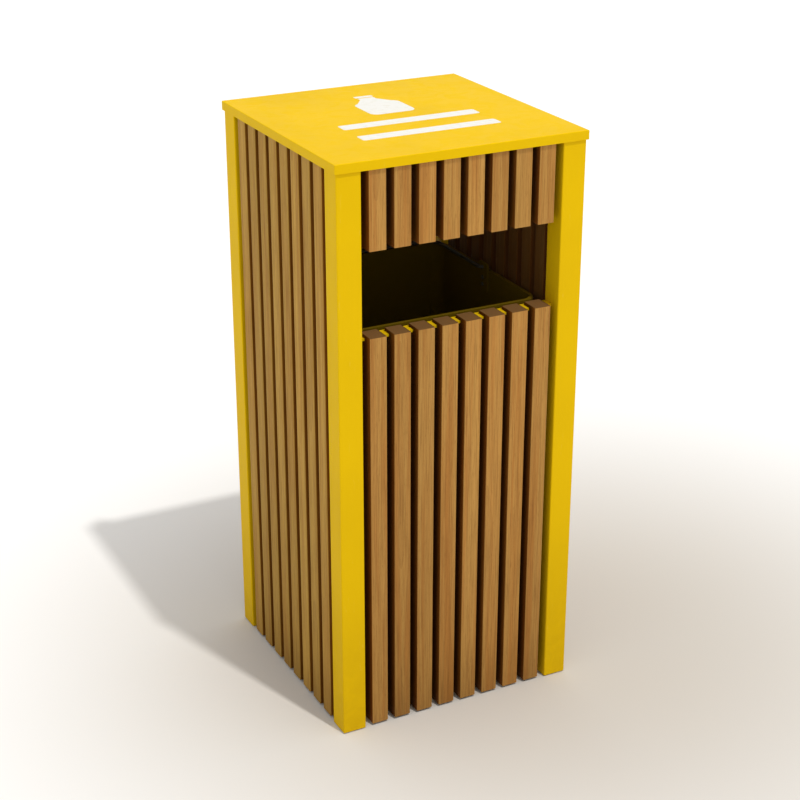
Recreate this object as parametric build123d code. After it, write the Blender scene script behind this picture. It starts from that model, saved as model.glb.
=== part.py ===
from build123d import *
import math
import os

# Slatted litter bin: four square-tube posts joined by flat rails, wooden slats
# on all four sides, a throw opening in front and a hinged, lockable lid over a
# lift-out liner.  Millimetres, +Z up, the front faces -Y.  The origin is on the
# floor, midway between the four feet.

# ---------------------------------------------------------------- overall size
bin_width = 420.0            # over the posts, along X
bin_depth = 420.0            # over the posts, along Y
bin_height = 954.0           # floor to the top face of the lid

# ------------------------------------------------------------------- the frame
post_size = 40.0
post_wall = 2.0
post_corner = 2.0            # outer corner radius of the tube
rail_thick = 4.0
rail_height = 30.0
sill_drop = 5.0              # sill rail below the ends of the lower slats
sill_flange = 16.0           # its upper flange, which lies in grooves in the slats
groove_clear = 0.2
base_thick = 3.0
anchor_spacing = 240.0
anchor_radius = 6.0
drain_radius = 10.0

# ------------------------------------------------------- plastic feet and caps
foot_flange = 2.0
foot_inset = 2.5             # foot's flange inside the outline of the post
cap_flange = 3.0
insert_depth = 16.0
insert_clear = 0.1
insert_edge = 0.8
insert_corner = 1.0

# ------------------------------------------------------------------- the slats
slat_width = 28.0
slat_count = 8
slat_setback = 1.0           # slat face behind the post face
slat_edge = 1.5              # rounded long edges
slat_end_gap = 2.0           # slat ends stop short of the ends of the posts
opening_drop = 138.5         # top of the lid to the upper edge of the throw opening
opening_height = 136.0

# ----------------------------------------------------------------- slat screws
screw_radius = 2.5
screw_length = 30.0
screw_head_radius = 4.75
screw_head_height = 3.0
screw_key = 3.0              # across the flats of the key recess
screw_hole_clear = 0.25
pilot_clear = 0.05
pilot_extra = 1.0
recess_floor = 0.4           # share of a screw head's height left below its recess
screw_round = 0.4            # share of a flat screw head's height that is rounded
screw_point = 0.6            # share of a screw's radius taken off at its point
button_round = 0.6           # share of a button head's height that is rounded
cut_past = 1.0               # how far a cutting shape runs past the faces it cuts

# --------------------------------------------------------------------- the lid
lid_sheet = 2.0
lid_skirt = 14.4             # height of the folded edge
lid_side_clear = 1.0         # folded edge to the posts
lid_rest_gap = 0.3           # underside to the post caps
lid_edge = 1.5
sign_thick = 0.3
sign_centre = 76.0           # pictogram behind the middle of the lid
bottle_width = 78.0
bottle_body = 74.0
bottle_neck_width = 28.0
bottle_neck = 10.0
bottle_shoulder = 22.0
bottle_cap = 9.0
bottle_cap_extra = 4.0       # cap wider than the neck
bottle_cap_corner = 2.0
sign_corner = 6.0            # widths and heights are this many corner radii
sign_gap = 4.0
bar_length = 236.0
bar_height = 26.0
bar_centres = (-33.0, -100.0)

# ------------------------------------------------------------------ the hinges
hinge_width = 24.0
hinge_inset = 4.0            # from the middle of the post towards the middle of the bin
hinge_sheet = 2.0
hinge_plate = 3.0
hinge_plate_height = 36.0
knuckle_radius = 5.0
hinge_pin_radius = 3.0
pin_clear = 0.05
knuckle_gap = 0.3
knuckle_drop = 1.0           # barrel below the folded edge of the lid
leaf_low_gap = 0.4           # moving leaf above the folded edge's lower end
leaf_top_drop = 1.0          # moving leaf below the top of the lid
neck_height = 5.0            # fixed leaf's neck, from plate to barrel
hinge_stop_angle = 100.0
stop_thick = 2.5
stop_gap = 0.4
stop_drop = 2.0              # stop shelf below the barrel
pin_chamfer = 0.5
bolt_radius = 3.0
bolt_length = 12.0
bolt_spacing = 16.0          # one above the other
bolt_drop = 3.0              # their middle below the middle of the plate, clear of the stop
bolt_head_radius = 5.5
bolt_head_height = 3.5
bolt_key = 4.0
bolt_clear = 0.2

# -------------------------------------------------------------------- the lock
lock_head_radius = 5.5
lock_head_length = 9.0
lock_body_radius = 5.0
lock_body_length = 16.0      # from the front face of the rail to the rear
lock_hole_clear = 0.05
lock_well_radius = 4.4
spindle_radius = 3.0
spindle_flange_radius = 4.2
spindle_flange = 2.0
spindle_nose = 5.0
spindle_nose_radius = 3.2
spindle_square = 4.2
lock_run_gap = 0.3
nut_flats = 15.0
nut_thick = 5.0
cam_thick = 3.0
cam_width = 10.0
cam_reach = 16.5
cam_screw_radius = 1.5
cam_screw_head = 4.0
cam_screw_head_height = 2.2
cam_screw_length = 8.0
cam_screw_key = 2.5
cam_screw_spare = 0.5        # threaded hole deeper than the screw
keeper_sheet = 2.0
keeper_width = 16.0
keeper_start = 7.5           # beside the cam when it stands upright
keeper_drop = 4.7            # cam to the lip below it when locked
keeper_lip = 9.0
keeper_flange = 18.0
keeper_clear = 2.7           # cam to the hanging leg

# ------------------------------------------------------------------- the liner
liner_clear = 12.0           # liner wall to the inner face of the rails
liner_wall = 1.2
liner_corner = 20.0
liner_rim_reach = 5.0
liner_rim_drop = 12.0
liner_below_sill = 2.5
liner_float = 0.3
ear_width = 30.0
ear_thick = 2.5
ear_below_rim = 37.0
ear_margin = 8.0
rivet_radius = 2.0
rivet_head_radius = 3.6
rivet_head_height = 1.4
rivet_heights = (10.0, 22.0)  # above the lower end of the ear
bail_radius = 3.0
bail_hole_clear = 0.25
bail_inset = 5.0             # ear to the middle of the bail's arm
bail_end = 5.5               # wire past the outer face of the ear
bail_bend = 25.0
bail_end_bend = 5.0

# -------------------------------------------------------------- worked-out sizes
half_width = bin_width / 2
half_depth = bin_depth / 2
post_bottom = foot_flange
post_top = bin_height - lid_sheet - lid_rest_gap - cap_flange
header_height = bin_height - opening_drop        # lower ends of the upper slats
sill_height = header_height - opening_height     # upper ends of the lower slats
slat_bottom = post_bottom + slat_end_gap
slat_top = post_top - slat_end_gap
rail_back = post_size                            # rails flush with the posts' inner faces
rail_front = rail_back - rail_thick
slat_depth = rail_front - slat_setback           # slats lie against the rails
base_top = post_bottom + base_thick
bottom_rail_mid = post_bottom + rail_height / 2
top_rail_mid = post_top - rail_height / 2
sill_rail_top = sill_height - sill_drop
sill_rail_mid = sill_rail_top - rail_height / 2
header_rail_mid = header_height + rail_height / 2
lid_bottom = bin_height - lid_skirt
lid_under = bin_height - lid_sheet
lid_half_width = half_width + lid_side_clear + lid_sheet
lid_half_depth = half_depth + lid_side_clear + lid_sheet
hinge_y = lid_half_depth + knuckle_radius
hinge_z = lid_bottom - knuckle_drop - knuckle_radius
lock_z = top_rail_mid
liner_half_x = half_width - rail_back - liner_clear
liner_half_y = half_depth - rail_back - liner_clear
liner_bottom = base_top + liner_float
liner_top = sill_height - liner_below_sill
bail_z = liner_top + bail_radius + liner_float

os.makedirs("parts", exist_ok=True)


def block(x0, x1, y0, y1, z0, z1):
    """A box between two corners."""
    centre = ((x0 + x1) / 2, (y0 + y1) / 2, (z0 + z1) / 2)
    return Pos(*centre) * Box(abs(x1 - x0), abs(y1 - y0), abs(z1 - z0))


def rod_y(radius, y0, y1, x=0.0, z=0.0):
    """A round bar along Y."""
    return Pos(x, (y0 + y1) / 2, z) * Rot(90, 0, 0) * Cylinder(radius, abs(y1 - y0))


def rod_x(radius, x0, x1, y=0.0, z=0.0):
    """A round bar along X."""
    return Pos((x0 + x1) / 2, y, z) * Rot(0, 90, 0) * Cylinder(radius, abs(x1 - x0))


def save(shape, name):
    """Write one node."""
    export_step(shape, "parts/" + name + ".step")


def group(shapes):
    """Separate solids that share one node."""
    return Compound(children=[solid for shape in shapes for solid in shape.solids()])


# --------------------------------------------------------------- posts and plugs
def hinge_centre(side):
    """Middle of one hinge along X."""
    return side * (half_width - post_size / 2 - hinge_inset)


def hinge_bolt_places(side):
    """Centres (x, z) of the two bolts of the hinge on one rear post."""
    height = hinge_z - knuckle_radius - hinge_plate_height / 2 - bolt_drop
    return [(hinge_centre(side), height + shift * bolt_spacing / 2) for shift in (-1, 1)]


def post(x_side, y_side):
    """A square tube; the rear ones carry the bolts of the lid hinges."""
    inner = post_size - 2 * post_wall
    section = RectangleRounded(post_size, post_size, post_corner) - Rectangle(inner, inner)
    x = x_side * (half_width - post_size / 2)
    y = y_side * (half_depth - post_size / 2)
    tube = Pos(x, y, post_bottom) * extrude(section, post_top - post_bottom)
    if y_side > 0:
        for bolt_x, bolt_z in hinge_bolt_places(x_side):
            tube -= rod_y(bolt_radius + bolt_clear, half_depth - 2 * post_wall,
                          half_depth + cut_past, bolt_x, bolt_z)
    return tube


def plug(x_side, y_side, flange, inset, z_face, inward):
    """A plastic plug with its flange on the end of a post."""
    x = x_side * (half_width - post_size / 2)
    y = y_side * (half_depth - post_size / 2)
    inner = post_size - 2 * post_wall - 2 * insert_clear
    width = post_size - 2 * inset
    head = extrude(RectangleRounded(width, width, post_corner), flange)
    head = chamfer(head.edges().group_by(Axis.Z)[0], insert_edge)
    body = Pos(0, 0, flange) * extrude(RectangleRounded(inner, inner, insert_corner), insert_depth)
    turn = Rot(0, 0, 0) if inward > 0 else Rot(180, 0, 0)
    return Pos(x, y, z_face) * turn * (head + body)


corners = [("front_left", -1, -1), ("front_right", 1, -1), ("rear_left", -1, 1), ("rear_right", 1, 1)]
for corner, x_side, y_side in corners:
    save(post(x_side, y_side), "post_" + corner)
save(group([plug(x, y, foot_flange, foot_inset, 0, 1) for _, x, y in corners]), "post_feet")
save(group([plug(x, y, cap_flange, 0, post_top + cap_flange, -1) for _, x, y in corners]), "post_caps")


# ------------------------------------------------------ slatted panels, one side
def slat_places(clear_span):
    """Middles of the slats across a panel, evenly spaced between two posts."""
    gap = (clear_span - slat_count * slat_width) / (slat_count + 1)
    return [-clear_span / 2 + gap + slat_width / 2 + n * (gap + slat_width) for n in range(slat_count)]


def rail(clear_span, face, middle):
    """A flat rail between two posts, drilled for one screw in each slat."""
    bar = block(-clear_span / 2, clear_span / 2, -face + rail_front, -face + rail_back,
                middle - rail_height / 2, middle + rail_height / 2)
    for x in slat_places(clear_span):
        bar -= rod_y(screw_radius + screw_hole_clear, -face + rail_front - cut_past,
                     -face + rail_back + cut_past, x, middle)
    return bar


def slat(x, face, bottom, top, screw_heights):
    """One upright slat with a blind pilot hole behind each rail."""
    y = -face + slat_setback + slat_depth / 2
    wood = Pos(x, y, bottom) * extrude(RectangleRounded(slat_width, slat_depth, slat_edge), top - bottom)
    pilot_end = rail_back - screw_length - pilot_extra
    for z in screw_heights:
        wood -= rod_y(screw_radius + pilot_clear, -face + pilot_end, -face + rail_front + cut_past, x, z)
    return wood


def key_recess(flats, head_height):
    """The six-sided recess in a screw head that stands on the plane z = 0."""
    outline = RegularPolygon(flats / 2, 6, major_radius=False)
    return Pos(0, 0, head_height * recess_floor) * extrude(outline, head_height)


def sill_rail():
    """The rail below the throw opening: an angle with its flange forward between the slats."""
    flange_back = -half_depth + rail_front
    flange = block(-front_span / 2, front_span / 2, flange_back - sill_flange, flange_back,
                   sill_rail_top - rail_thick, sill_rail_top)
    return rail(front_span, half_depth, sill_rail_mid) + flange


def grooved_slat(x):
    """A lower front slat with the groove that takes the sill rail's flange."""
    wood = slat(x, half_depth, slat_bottom, sill_height, lower_heights)
    back = -half_depth + rail_front
    groove = block(x - slat_width, x + slat_width, back - sill_flange - groove_clear, back + cut_past,
                   sill_rail_top - rail_thick - groove_clear, sill_rail_top + groove_clear)
    return wood - groove


def slat_screw():
    """A pan-head wood screw along +Z, its head on the plane z = 0."""
    head = Pos(0, 0, screw_head_height / 2) * Cylinder(screw_head_radius, screw_head_height)
    head = fillet(head.edges().group_by(Axis.Z)[-1], screw_head_height * screw_round)
    head -= key_recess(screw_key, screw_head_height)
    shank = Pos(0, 0, -screw_length / 2) * Cylinder(screw_radius, screw_length)
    shank = chamfer(shank.edges().group_by(Axis.Z)[0], screw_radius * screw_point)
    return head + shank


def panel_screws(clear_span, face, heights):
    """The screws that hold a panel's slats, their heads inside the bin."""
    screw = Rot(-90, 0, 0) * slat_screw()
    return [Pos(x, -face + rail_back, z) * screw for x in slat_places(clear_span) for z in heights]


front_span = bin_width - 2 * post_size
side_span = bin_depth - 2 * post_size
full_heights = (bottom_rail_mid, top_rail_mid)
lower_heights = (bottom_rail_mid, sill_rail_mid)
upper_heights = (header_rail_mid, top_rail_mid)

# Front: long slats below the throw opening, short ones above it.
for number, x in enumerate(slat_places(front_span), 1):
    save(grooved_slat(x), f"front_slat_{number}")
save(group([slat(x, half_depth, header_height, slat_top, upper_heights) for x in slat_places(front_span)]),
     "upper_slats")
save(rail(front_span, half_depth, bottom_rail_mid), "front_bottom_rail")
save(sill_rail(), "front_sill_rail")
save(rail(front_span, half_depth, header_rail_mid), "front_header_rail")
front_top_rail = rail(front_span, half_depth, top_rail_mid)
lock_hole = rod_y(lock_body_radius + lock_hole_clear, -half_depth, 0, 0, lock_z)
save(front_top_rail - lock_hole, "front_top_rail")

# Sides: full-height slats, numbered from the left as seen from outside.
for side, turn in (("left", Rot(0, 0, -90)), ("right", Rot(0, 0, 90))):
    for number, x in enumerate(slat_places(side_span), 1):
        save(turn * slat(x, half_width, slat_bottom, slat_top, full_heights), f"{side}_slat_{number}")
    save(group([turn * rail(side_span, half_width, z) for z in full_heights]), side + "_rails")

# Rear: the same as a side.
rear_turn = Rot(0, 0, 180)
save(group([rear_turn * slat(x, half_depth, slat_bottom, slat_top, full_heights)
            for x in slat_places(front_span)]), "rear_slats")
save(group([rear_turn * rail(front_span, half_depth, z) for z in full_heights]), "rear_rails")

screws = panel_screws(front_span, half_depth, lower_heights + upper_heights)
screws += [Rot(0, 0, -90) * screw for screw in panel_screws(side_span, half_width, full_heights)]
screws += [Rot(0, 0, 90) * screw for screw in panel_screws(side_span, half_width, full_heights)]
screws += [rear_turn * screw for screw in panel_screws(front_span, half_depth, full_heights)]
save(group(screws), "slat_screws")


# --------------------------------------------------------------------- base plate
def base_plate():
    """Plate welded between the bottom rails, with ground-anchor and drain holes."""
    plate = block(-half_width + rail_back, half_width - rail_back, -half_depth + rail_back,
                  half_depth - rail_back, post_bottom, base_top)
    middle = Pos(0, 0, (post_bottom + base_top) / 2)
    holes = GridLocations(anchor_spacing, anchor_spacing, 2, 2) * Cylinder(anchor_radius, 2 * base_thick)
    for hole in holes:
        plate -= middle * hole
    return plate - middle * Cylinder(drain_radius, 2 * base_thick)


save(base_plate(), "base_plate")


# ---------------------------------------------------------------------------- lid
def lid():
    """A sheet tray, open below, that sits over the frame like a shallow cap."""
    outer = block(-lid_half_width, lid_half_width, -lid_half_depth, lid_half_depth, lid_bottom, bin_height)
    outer = fillet(outer.edges().group_by(Axis.Z)[-1] + outer.edges().filter_by(Axis.Z), lid_edge)
    inner = block(-lid_half_width + lid_sheet, lid_half_width - lid_sheet, -lid_half_depth + lid_sheet,
                  lid_half_depth - lid_sheet, lid_bottom - cut_past, lid_under)
    return outer - inner


def lid_sign():
    """Cut film on the lid: a plain bottle with its cap, and two plain bars."""
    base = sign_centre - (bottle_body + bottle_shoulder + bottle_neck + sign_gap + bottle_cap) / 2
    shoulder_base = base + bottle_body
    neck_base = shoulder_base + bottle_shoulder
    body_corner = bottle_width / sign_corner
    body = RectangleRounded(bottle_width, bottle_body, body_corner)
    half = bottle_width / 2
    neck_half = bottle_neck_width / 2
    shoulder = Polygon((-half, shoulder_base - body_corner), (half, shoulder_base - body_corner),
                       (neck_half, neck_base), (-neck_half, neck_base), align=None)
    neck = Pos(0, neck_base + bottle_neck / 2) * Rectangle(bottle_neck_width, bottle_neck)
    cap_middle = neck_base + bottle_neck + sign_gap + bottle_cap / 2
    cap_width = bottle_neck_width + bottle_cap_extra
    cap = Pos(0, cap_middle) * RectangleRounded(cap_width, bottle_cap, bottle_cap_corner)
    faces = [Pos(0, base + bottle_body / 2) * body + shoulder + neck, cap]
    bar = RectangleRounded(bar_length, bar_height, bar_height / sign_corner)
    faces += [Pos(0, y) * bar for y in bar_centres]
    return group([Pos(0, 0, bin_height) * extrude(face, sign_thick) for face in faces])


save(lid(), "lid")
save(lid_sign(), "lid_sign")


# ------------------------------------------------------------------------- hinges
def leaf_profile(points, x0, x1):
    """A plate shape given as (y, z) points from the hinge axis, extruded along X."""
    wire = Polyline(*[(0, hinge_y + y, hinge_z + z) for y, z in points], close=True)
    return Pos(x0, 0, 0) * extrude(make_face(wire), x1 - x0, dir=(1, 0, 0))


def knuckle(x0, x1):
    """One barrel of a hinge."""
    return rod_x(knuckle_radius, x0, x1, hinge_y, hinge_z)


def pin_bore(centre):
    """The bore for the hinge pin, through all the barrels."""
    return rod_x(hinge_pin_radius + pin_clear, centre - hinge_width, centre + hinge_width, hinge_y, hinge_z)


def fixed_leaf(side):
    """Hinge half on the post: plate, two barrels and the horn that stops the lid."""
    centre = hinge_centre(side)
    left = centre - hinge_width / 2
    third = hinge_width / 3
    face = half_depth - hinge_y
    plate_top = -knuckle_radius + leaf_top_drop
    plate_low = -knuckle_radius - hinge_plate_height
    neck_back = -knuckle_radius + hinge_sheet
    leaf = leaf_profile([(face, plate_low), (face + hinge_plate, plate_low),
                         (face + hinge_plate, plate_top), (face, plate_top)], left, left + hinge_width)
    for start in (left, left + 2 * third):
        neck = leaf_profile([(face, plate_top - neck_height), (neck_back, plate_top - neck_height),
                             (neck_back, 0), (-knuckle_radius, 0), (face, plate_top)], start, start + third)
        leaf += neck + knuckle(start, start + third)
    leaf += stop_horn(left, left + hinge_width)
    leaf -= pin_bore(centre)
    leaf -= leaf_clearance(left + third - knuckle_gap, left + 2 * third + knuckle_gap)
    for bolt_x, bolt_z in hinge_bolt_places(side):
        leaf -= rod_y(bolt_radius + bolt_clear, half_depth - cut_past, hinge_y, bolt_x, bolt_z)
    return leaf


def stop_horn(x0, x1):
    """Shelf below the barrel with an upturned end that meets the opened lid's leaf."""
    angle = math.radians(hinge_stop_angle)
    leaf_y = -knuckle_radius + hinge_sheet
    leaf_z = bin_height - leaf_top_drop - hinge_z
    tip_y = leaf_y * math.cos(angle) + leaf_z * math.sin(angle)
    tip_z = -leaf_y * math.sin(angle) + leaf_z * math.cos(angle) - stop_gap
    shelf_top = -knuckle_radius - stop_drop
    shelf_low = shelf_top - stop_thick
    face = half_depth - hinge_y
    return leaf_profile([(face, shelf_low), (tip_y, shelf_low), (tip_y, tip_z), (tip_y - stop_thick, tip_z),
                         (tip_y - stop_thick, shelf_top), (face, shelf_top)], x0, x1)


def leaf_clearance(x0, x1):
    """Room for the middle barrel between the two fixed ones."""
    reach = knuckle_radius + knuckle_gap
    return rod_x(reach, x0, x1, hinge_y, hinge_z)


def moving_leaf(side):
    """Hinge half welded to the lid's folded edge, with the middle barrel."""
    centre = hinge_centre(side)
    left = centre - hinge_width / 2
    third = hinge_width / 3
    inner = -knuckle_radius
    outer = inner + hinge_sheet
    low = lid_bottom - hinge_z + leaf_low_gap
    high = bin_height - leaf_top_drop - hinge_z
    leaf = leaf_profile([(inner, low), (outer, low), (outer, high), (inner, high)], left, left + hinge_width)
    start = left + third + knuckle_gap
    end = left + 2 * third - knuckle_gap
    leaf += leaf_profile([(inner, 0), (outer, 0), (outer, low), (inner, low)], start, end)
    return leaf + knuckle(start, end) - pin_bore(centre)


def hinge_pin(side):
    """The pin through the three barrels."""
    centre = hinge_centre(side)
    pin = rod_x(hinge_pin_radius, centre - hinge_width / 2, centre + hinge_width / 2, hinge_y, hinge_z)
    return chamfer(pin.edges().filter_by(GeomType.CIRCLE), pin_chamfer)


def hinge_bolt():
    """A button-head bolt along Y, its head behind the plane y = 0."""
    head = Pos(0, 0, bolt_head_height / 2) * Cylinder(bolt_head_radius, bolt_head_height)
    head = fillet(head.edges().group_by(Axis.Z)[-1], bolt_head_height * button_round)
    head -= key_recess(bolt_key, bolt_head_height)
    shank = Pos(0, 0, -bolt_length / 2) * Cylinder(bolt_radius, bolt_length)
    return Rot(-90, 0, 0) * (head + shank)


for name, side in (("left", -1), ("right", 1)):
    save(fixed_leaf(side), f"hinge_{name}_fixed_leaf")
    save(moving_leaf(side), f"hinge_{name}_moving_leaf")
save(group([hinge_pin(-1), hinge_pin(1)]), "hinge_pins")
bolt_face = half_depth + hinge_plate
save(group([Pos(x, bolt_face, z) * hinge_bolt() for side in (-1, 1) for x, z in hinge_bolt_places(side)]),
     "hinge_bolts")


# --------------------------------------------------------------------------- lock
rail_outer_y = -half_depth + rail_front
rail_inner_y = -half_depth + rail_back
barrel_front = rail_outer_y - lock_head_length
barrel_back = rail_outer_y + lock_body_length
cam_front = barrel_back + lock_run_gap
cam_back = cam_front + cam_thick


def lock_barrel():
    """Fixed barrel between two upper slats: a key well in front, a bore behind."""
    barrel = rod_y(lock_head_radius, barrel_front, rail_outer_y, 0, lock_z)
    barrel += rod_y(lock_body_radius, rail_outer_y, barrel_back, 0, lock_z)
    barrel -= rod_y(spindle_radius + pin_clear, barrel_front - cut_past, barrel_back + cut_past, 0, lock_z)
    return barrel - rod_y(lock_well_radius, barrel_front - cut_past, rail_outer_y, 0, lock_z)


def lock_nut():
    """Hexagon nut that clamps the barrel to the rail."""
    nut = extrude(RegularPolygon(nut_flats / 2, 6, major_radius=False), nut_thick)
    nut = Pos(0, rail_inner_y, lock_z) * Rot(-90, 0, 0) * nut
    return nut - rod_y(lock_body_radius + lock_hole_clear, rail_inner_y - cut_past,
                       rail_inner_y + nut_thick + cut_past, 0, lock_z)


def lock_spindle():
    """Turning spindle: three-sided nose for the key, flange, shaft, square end."""
    flange_back = rail_outer_y - lock_run_gap
    flange_front = flange_back - spindle_flange
    spindle = rod_y(spindle_flange_radius, flange_front, flange_back, 0, lock_z)
    spindle += rod_y(spindle_radius, flange_back, cam_front, 0, lock_z)
    nose = extrude(RegularPolygon(spindle_nose_radius, 3), spindle_nose)
    spindle += Pos(0, flange_front, lock_z) * Rot(90, 0, 0) * nose
    half = spindle_square / 2
    spindle += block(-half, half, cam_front, cam_back, lock_z - half, lock_z + half)
    return spindle - rod_y(cam_screw_radius + pin_clear, cam_back - cam_screw_length - cam_screw_spare,
                           cam_back + cut_past, 0, lock_z)


def lock_cam():
    """Cam plate that stands upright when open and lies over the keeper when locked."""
    straight = cam_reach - cam_width / 2
    outline = Pos(0, straight / 2) * Rectangle(cam_width, straight)
    outline += Circle(cam_width / 2) + Pos(0, straight) * Circle(cam_width / 2)
    outline -= Rectangle(spindle_square + 2 * pin_clear, spindle_square + 2 * pin_clear)
    return Pos(0, cam_back, lock_z) * Rot(90, 0, 0) * extrude(outline, cam_thick)


def cam_screw():
    """Screw that holds the cam on the spindle."""
    head = Pos(0, 0, cam_screw_head_height / 2) * Cylinder(cam_screw_head, cam_screw_head_height)
    head = fillet(head.edges().group_by(Axis.Z)[-1], cam_screw_head_height / 2)
    head -= key_recess(cam_screw_key, cam_screw_head_height)
    shank = Pos(0, 0, -cam_screw_length / 2) * Cylinder(cam_screw_radius, cam_screw_length)
    return Pos(0, cam_back, lock_z) * Rot(-90, 0, 0) * (head + shank)


def lid_keeper():
    """Folded strip under the lid; its lip passes below the locked cam."""
    lip_top = lock_z - cam_width / 2 - keeper_drop
    leg_front = cam_back + keeper_clear
    leg_back = leg_front + keeper_sheet
    x1 = keeper_start + keeper_width
    lip_low = lip_top - keeper_sheet
    lip_front = leg_back - keeper_lip - keeper_sheet
    flange_back = leg_front + keeper_flange
    keeper = block(keeper_start, x1, leg_front, leg_back, lip_low, lid_under)
    keeper += block(keeper_start, x1, lip_front, leg_back, lip_low, lip_top)
    return keeper + block(keeper_start, x1, leg_front, flange_back, lid_under - keeper_sheet, lid_under)


save(lock_barrel(), "lock_barrel")
save(lock_nut(), "lock_nut")
save(lock_spindle(), "lock_spindle")
save(lock_cam(), "lock_cam")
save(cam_screw(), "lock_cam_screw")
save(lid_keeper(), "lid_keeper")


# -------------------------------------------------------------------------- liner
def round_box(half_x, half_y, corner, z0, z1):
    """An upright block with rounded corners."""
    return Pos(0, 0, z0) * extrude(RectangleRounded(2 * half_x, 2 * half_y, corner), z1 - z0)


def liner():
    """Lift-out sheet liner with a folded-over rim."""
    hx = liner_half_x
    hy = liner_half_y
    reach = liner_rim_reach
    shell = round_box(hx, hy, liner_corner, liner_bottom, liner_top)
    rim = round_box(hx + reach, hy + reach, liner_corner + reach, liner_top - liner_rim_drop, liner_top)
    under = round_box(hx + reach - liner_wall, hy + reach - liner_wall, liner_corner + reach - liner_wall,
                      liner_top - liner_rim_drop - cut_past, liner_top - liner_wall)
    inside = round_box(hx - liner_wall, hy - liner_wall, liner_corner - liner_wall,
                       liner_bottom + liner_wall, liner_top + cut_past)
    body = shell + (rim - under) - inside
    for side in (-1, 1):
        for z in rivet_places():
            body -= rod_x(rivet_radius + pin_clear, side * (hx - 2 * liner_wall),
                          side * (hx + cut_past), 0, z)
    return body


def rivet_places():
    """Heights of the rivets in each ear."""
    return [liner_top - ear_below_rim + height for height in rivet_heights]


def liner_ear(side):
    """Riveted ear that stands above the rim and carries one end of the bail."""
    wall = liner_half_x - liner_wall
    low = liner_top - ear_below_rim
    plate = block(wall - ear_thick, wall, -ear_width / 2, ear_width / 2, low, bail_z)
    plate += rod_x(ear_width / 2, wall - ear_thick, wall, 0, bail_z) & block(
        0, liner_half_x, -ear_width / 2, ear_width / 2, bail_z - cut_past, bail_z + ear_margin)
    plate -= rod_x(bail_radius + bail_hole_clear, 0, liner_half_x, 0, bail_z)
    for z in rivet_places():
        plate -= rod_x(rivet_radius + pin_clear, 0, liner_half_x, 0, z)
    return plate if side > 0 else mirror(plate, Plane.YZ)


def ear_rivet(side, z):
    """Rivet with a low head on each face of the ear and the wall."""
    outer = liner_half_x
    inner = liner_half_x - liner_wall - ear_thick
    body = rod_x(rivet_radius, inner, outer, 0, z)
    for start, end in ((outer, outer + rivet_head_height), (inner - rivet_head_height, inner)):
        head = rod_x(rivet_head_radius, start, end, 0, z)
        face = head.edges().group_by(Axis.X)[-1] if start == outer else head.edges().group_by(Axis.X)[0]
        body += fillet(face, rivet_head_height * button_round)
    return body if side > 0 else mirror(body, Plane.YZ)


def bail():
    """Wire handle hooked through both ears, lying back on the rear rim."""
    ear_outer = liner_half_x - liner_wall
    arm_x = ear_outer - ear_thick - bail_inset
    end_x = ear_outer + bail_end
    cross_y = liner_half_y + liner_rim_reach / 2
    points = [(-end_x, 0), (-arm_x, 0), (-arm_x, cross_y), (arm_x, cross_y), (arm_x, 0), (end_x, 0)]
    path = FilletPolyline(*points, radius=[bail_end_bend, bail_bend, bail_bend, bail_end_bend])
    section = Plane(origin=(-end_x, 0, 0), z_dir=(1, 0, 0)) * Circle(bail_radius)
    return Pos(0, 0, bail_z) * sweep(section, path=path)


save(liner(), "liner")
save(group([liner_ear(-1), liner_ear(1)]), "liner_ears")
save(group([ear_rivet(side, z) for side in (-1, 1) for z in rivet_places()]), "ear_rivets")
save(bail(), "liner_bail")
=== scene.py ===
"""Looks of the slatted litter bin.

It gives the steel, wood, plastic, film and fixings their finishes, lays the weld beads, and sets up a
pale studio.
"""

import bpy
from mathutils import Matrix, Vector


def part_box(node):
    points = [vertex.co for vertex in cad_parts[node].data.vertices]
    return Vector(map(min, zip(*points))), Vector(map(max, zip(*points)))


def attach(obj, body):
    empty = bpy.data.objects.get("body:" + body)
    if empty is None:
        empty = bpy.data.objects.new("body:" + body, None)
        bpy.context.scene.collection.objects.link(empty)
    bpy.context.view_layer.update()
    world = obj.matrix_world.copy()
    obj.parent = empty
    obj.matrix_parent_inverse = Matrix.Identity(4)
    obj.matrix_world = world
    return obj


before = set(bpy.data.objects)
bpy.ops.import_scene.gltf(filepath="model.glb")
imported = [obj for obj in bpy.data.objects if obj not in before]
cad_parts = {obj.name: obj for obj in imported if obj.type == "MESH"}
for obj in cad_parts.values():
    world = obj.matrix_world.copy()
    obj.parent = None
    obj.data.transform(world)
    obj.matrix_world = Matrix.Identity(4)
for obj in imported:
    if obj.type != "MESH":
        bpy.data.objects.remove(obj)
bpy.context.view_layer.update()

import logging
from dataclasses import dataclass
from enum import Enum
from typing import Any, Sequence

import bpy
import numpy as np
from mathutils import Vector

log = logging.getLogger("litter_bin")

Colour = tuple[float, float, float, float]
Point = tuple[float, float, float]
Span = tuple[float, float]


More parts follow.
